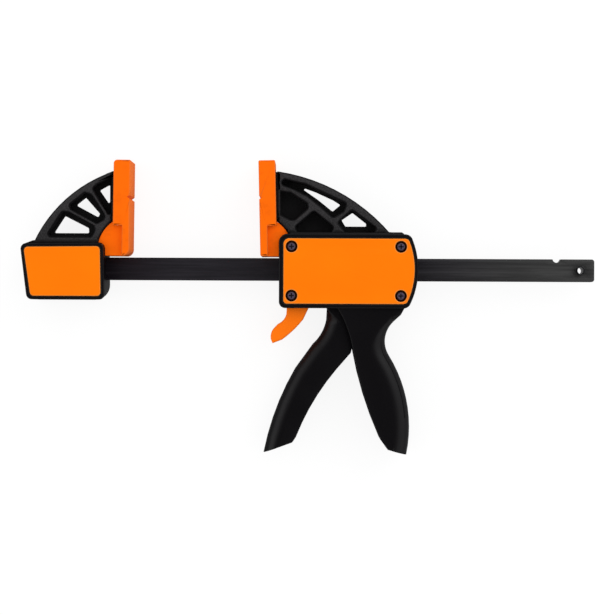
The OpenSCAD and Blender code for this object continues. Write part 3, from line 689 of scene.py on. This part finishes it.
class CLAMP_OT_trigger(ClampOperator):
    """Rounds the trigger's finger side and its edges"""

    bl_idname = "clamp.trigger"
    bl_label = "Trigger"

    def execute(self, context):
        piece = copy_of("trigger", "clamp_trigger")
        rim_foot = COVER_LOW.y - RIM_REACH
        outer = face_depth("trigger")

        def on_side(edge):
            return centre(edge).y < rim_foot and depth(edge) > outer

        def on_finger_side(edge):
            return on_side(edge) and min(face.normal.x for face in edge.link_faces) < -LEANING

        round_edges(piece, self.sizes.finger_round, 10, on_finger_side, clamp=False, slide=False)
        round_edges(piece, self.sizes.handle_inner, 3, on_side, clamp=False)
        material = smooth_plastic("Black nylon trigger", self.colours.nylon, NYLON_GLOSS, 0.06)
        finish(piece, "trigger", "black_nylon", material, "trigger")
        return {"FINISHED"}


class CLAMP_OT_covers(ClampOperator):
    """Rounds both covers and both badges"""

    bl_idname = "clamp.covers"
    bl_label = "Covers and badges"

    def execute(self, context):
        face = COVER_HIGH.z - MIDDLE_Z - self.sizes.cover_round - SKIN
        plastic = cover_plastic("Orange cover", self.colours.cover, self.colours.cover_edge_highlight,
                                self.colours.cover_hole_shade, face)
        for node, body in (("front_cover", "moving_jaw"), ("rear_cover", "moving_jaw"),
                           ("fixed_jaw_front_badge", "bar_frame"),
                           ("fixed_jaw_rear_badge", "bar_frame")):
            piece = copy_of(node, "clamp_" + node)
            outer = outer_face(node)
            round_edges(piece, self.sizes.cover_round, 3, lambda edge: lies_at(edge, outer))
            finish(piece, body, "orange_plastic", plastic, node)
        return {"FINISHED"}


class CLAMP_OT_pads(ClampOperator):
    """Rounds both pads"""

    bl_idname = "clamp.pads"
    bl_label = "Pads"

    def execute(self, context):
        rubber = pad_rubber("Orange pad", self.colours.pad, self.colours.pad_edge_highlight)
        for node, body in (("fixed_jaw_pad", "bar_frame"), ("moving_jaw_pad", "moving_jaw")):
            piece = copy_of(node, "clamp_" + node, flat=False)
            outer = face_depth(node)

            def on_outline(edge):
                in_groove = GROOVE_SHORT < edge.calc_length() < GROOVE_LONG
                return depth(edge) > outer and not in_groove

            round_edges(piece, self.sizes.pad_round, 4, on_outline, clamp=False, slide=False)
            finish(piece, body, "orange_pad", rubber, node)
        return {"FINISHED"}


class CLAMP_OT_lever(ClampOperator):
    """Rounds the release lever"""

    bl_idname = "clamp.lever"
    bl_label = "Release lever"

    def execute(self, context):
        piece = copy_of("release_lever", "clamp_release_lever")
        outer = face_depth("release_lever")
        round_edges(piece, self.sizes.lever_round, 4, lambda edge: depth(edge) > outer,
                    clamp=False)
        material = smooth_plastic("Orange lever", self.colours.lever, 0.1, 0.03)
        finish(piece, "release", "lever_orange", material, "release_lever")
        return {"FINISHED"}


class CLAMP_OT_screws(ClampOperator):
    """Domes the cover screws' heads round their cross recesses"""

    bl_idname = "clamp.screws"
    bl_label = "Cover screws"

    def execute(self, context):
        crown = outer_face("front_cover_screws") - MIDDLE_Z - 0.2 * MM
        steel = glinting_screw("Dark screws", self.colours.screw_dark, self.colours.screw, crown)
        for node in ("front_cover_screws", "rear_cover_screws"):
            piece = copy_of(node, "clamp_" + node, merge=0.01 * MM, flat=False)
            outer = outer_face(node)

            def on_rim(edge):
                return lies_at(edge, outer) and edge.calc_length() < 0.5 * MM

            round_edges(piece, self.sizes.screw_dome, 6, on_rim, turn=VERY_SHARP)
            finish(piece, "moving_jaw", "black_screw", steel, node)
        return {"FINISHED"}


class CLAMP_OT_plates(ClampOperator):
    """Finishes the drive plates and the brake plate"""

    bl_idname = "clamp.plates"
    bl_label = "Plates"

    def execute(self, context):
        zinc = metal("Zinc plate", self.colours.zinc, 0.3, (1.0, 0.1, 1.0))
        for node, body in (("drive_plate_inner", "drive_plates"),
                           ("drive_plate_outer", "drive_plates"), ("brake_plate", "release")):
            piece = copy_of(node, "clamp_" + node)
            round_edges(piece, self.sizes.plate_round, 2)
            finish(piece, body, "plate_steel", zinc, node)
        return {"FINISHED"}


class CLAMP_OT_springs(ClampOperator):
    """Winds both springs"""

    bl_idname = "clamp.springs"
    bl_label = "Springs"

    def execute(self, context):
        wire = metal("Spring wire", self.colours.wire, 0.28)
        travel = JOINTS["drive_slide"]["range_m"][1]
        self.spring("drive_spring", 8, self.sizes.drive_wire, wire, "drive_slide", travel)
        fulcrum = Vector(JOINTS["release_pivot"]["pos_m"])
        swing = math.radians(JOINTS["release_pivot"]["range_deg"][1])
        travel = (fulcrum.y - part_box("brake_spring")[0].y) * math.sin(swing)
        self.spring("brake_spring", 4, self.sizes.brake_wire, wire, "release_pivot", travel)
        return {"FINISHED"}

    def spring(self, node, turns, thick, wire, joint, travel):
        """A finished coil that fills the node's box; it does not get shorter by travel, and joint
        is not used.
        """
        low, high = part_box(node)
        coil = self.wind(node, turns, thick)
        finish(coil, "moving_jaw", "spring_steel", wire, node, smooth=60.0)
        1 - travel / (high.x - low.x)
        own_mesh(coil)

    def wind(self, node, turns, thick):
        """A coil along X that fills the node's box, with its ends closed."""
        low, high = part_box(node)
        middle = (low + high) / 2
        radius = (high.z - low.z) / 2 - thick / 2
        bpy.ops.object.select_all(action="DESELECT")
        bpy.ops.mesh.primitive_circle_add(vertices=WIRE_SIDES, radius=thick / 2, location=(
            low.x + thick / 2, middle.y + radius, middle.z))
        piece = bpy.context.active_object
        piece.name = piece.data.name = "clamp_" + node
        bpy.ops.object.transform_apply(location=True, rotation=True, scale=True)
        bpy.context.scene.cursor.location = (low.x, middle.y, middle.z)
        bpy.ops.object.origin_set(type="ORIGIN_CURSOR")
        winding = piece.modifiers.new("Winding", "SCREW")
        winding.axis = "X"
        winding.angle = turns * TURN
        winding.steps = winding.render_steps = turns * TURN_STEPS
        winding.screw_offset = high.x - low.x - thick
        winding.use_smooth_shade = True
        bpy.ops.object.modifier_apply(modifier=winding.name)
        bpy.ops.object.mode_set(mode="EDIT")
        bpy.ops.mesh.select_all(action="DESELECT")
        bpy.ops.mesh.select_mode(type="EDGE")
        bpy.ops.mesh.select_non_manifold()
        bpy.ops.mesh.edge_face_add()
        bpy.ops.mesh.select_all(action="SELECT")
        bpy.ops.mesh.normals_make_consistent(inside=False)
        bpy.ops.object.mode_set(mode="OBJECT")
        bpy.context.scene.cursor.location = (0.0, 0.0, 0.0)
        bpy.ops.object.origin_set(type="ORIGIN_CURSOR")
        return piece


class CLAMP_OT_stage(ClampOperator):
    """Sets the table, the lights and the camera"""

    bl_idname = "clamp.stage"
    bl_label = "Stage"

    def execute(self, context):
        self.table()
        self.world()
        self.lamp("Key", (0.9, 0.85, 0.75), 1.2, 5.0)
        self.lamp("Fill", (-1.2, 0.1, 0.6), 0.9, 2.0)
        self.camera()
        context.scene.view_settings.view_transform = "Standard"
        return {"FINISHED"}

    def table(self):
        """A pale table, white where the camera sees it and dim in the clamp's gloss."""
        bpy.ops.object.select_all(action="DESELECT")
        bpy.ops.mesh.primitive_plane_add(size=TABLE_SIZE, location=(0.0, 0.0, -TABLE_DROP))
        table = bpy.context.active_object
        table.name = "table"
        paint = Paint("Table top", Roughness=0.9, Specular_IOR_Level=0.0)
        paint.set("Base Color", tuple(self.colours.table))
        lit = Value(paint, paint.shader.outputs[0])
        glowing = GLOW_SHARE * paint.ray("Is Camera Ray")
        seen = paint.layers(glowing, lit, paint.glow(TABLE_GLOW))
        side = paint.ramp(paint.part("Object", 0), 0.0, GLOSS_SIDE)
        mirrored = paint.layers(side, paint.glow(GLOSS_NEAR), paint.glow(GLOSS_FAR))
        look = paint.layers(paint.ray("Is Glossy Ray"), seen, mirrored)
        paint.feed(paint.tree.nodes["Material Output"].inputs["Surface"], look)
        table.data.materials.append(paint.material)

    def world(self):
        """An even light, which gloss sees as a bright ring under a dark ceiling."""
        world = bpy.data.worlds.new("Studio")
        world.use_nodes = True
        bpy.context.scene.world = world
        studio = Nodes(world.node_tree)
        ring = studio.ramp(studio.part("Generated", 2), RING_TOP, CEILING, RING_GLOW, CEILING_GLOW)
        soft = studio.blend(studio.ray("Is Diffuse Ray"), ring, SOFT_LIGHT)
        white = studio.blend(studio.ray("Is Camera Ray"), soft, 1.0)
        background = world.node_tree.nodes["Background"]
        studio.feed(background.inputs["Color"], WHITE)
        studio.feed(background.inputs["Strength"], white)

    def lamp(self, name, place, width, watts):
        """A round lamp that looks at the clamp."""
        data = bpy.data.lights.new(name, "AREA")
        data.shape = "DISK"
        data.size = width
        data.energy = watts
        lamp = bpy.data.objects.new(name, data)
        bpy.context.scene.collection.objects.link(lamp)
        lamp.location = place
        lamp.rotation_euler = (-Vector(place)).to_track_quat("-Z", "Y").to_euler()

    def camera(self):
        """The camera over the clamp."""
        data = bpy.data.cameras.new("Camera")
        data.lens = CAMERA_LENS
        data.sensor_width = CAMERA_SENSOR
        camera = bpy.data.objects.new("Camera", data)
        bpy.context.scene.collection.objects.link(camera)
        camera.location = CAMERA_PLACE
        camera.rotation_euler = (0.0, 0.0, math.radians(CAMERA_TURN))
        bpy.context.scene.camera = camera


class CLAMP_PT_panel(bpy.types.Panel):
    """Lists the clamp's pieces in the sidebar"""

    bl_idname = "CLAMP_PT_panel"
    bl_label = "Bar Clamp"
    bl_space_type = "VIEW_3D"
    bl_region_type = "UI"
    bl_category = "Clamp"

    def draw(self, context):
        for operator in OPERATORS:
            self.layout.operator(operator.bl_idname)
        for group in (context.scene.clamp_sizes, context.scene.clamp_colours):
            for key in group.bl_rna.properties.keys():
                if key not in ("rna_type", "name"):
                    self.layout.prop(group, key)


OPERATORS = (CLAMP_OT_bar, CLAMP_OT_pins, CLAMP_OT_fixed_jaw, CLAMP_OT_housing, CLAMP_OT_trigger,
             CLAMP_OT_covers, CLAMP_OT_pads, CLAMP_OT_lever, CLAMP_OT_screws, CLAMP_OT_plates,
             CLAMP_OT_springs, CLAMP_OT_stage)
CLASSES = (ClampSizes, ClampColours, *OPERATORS, CLAMP_PT_panel)


def register():
    for entry in CLASSES:
        bpy.utils.register_class(entry)
    bpy.types.Scene.clamp_sizes = PointerProperty(type=ClampSizes)
    bpy.types.Scene.clamp_colours = PointerProperty(type=ClampColours)


def unregister():
    del bpy.types.Scene.clamp_colours
    del bpy.types.Scene.clamp_sizes
    for entry in reversed(CLASSES):
        bpy.utils.unregister_class(entry)


def main():
    """Makes every piece in order."""
    register()
    for operator in OPERATORS:
        group, name = operator.bl_idname.split(".")
        getattr(getattr(bpy.ops, group), name)()


if __name__ == "__main__":
    main()
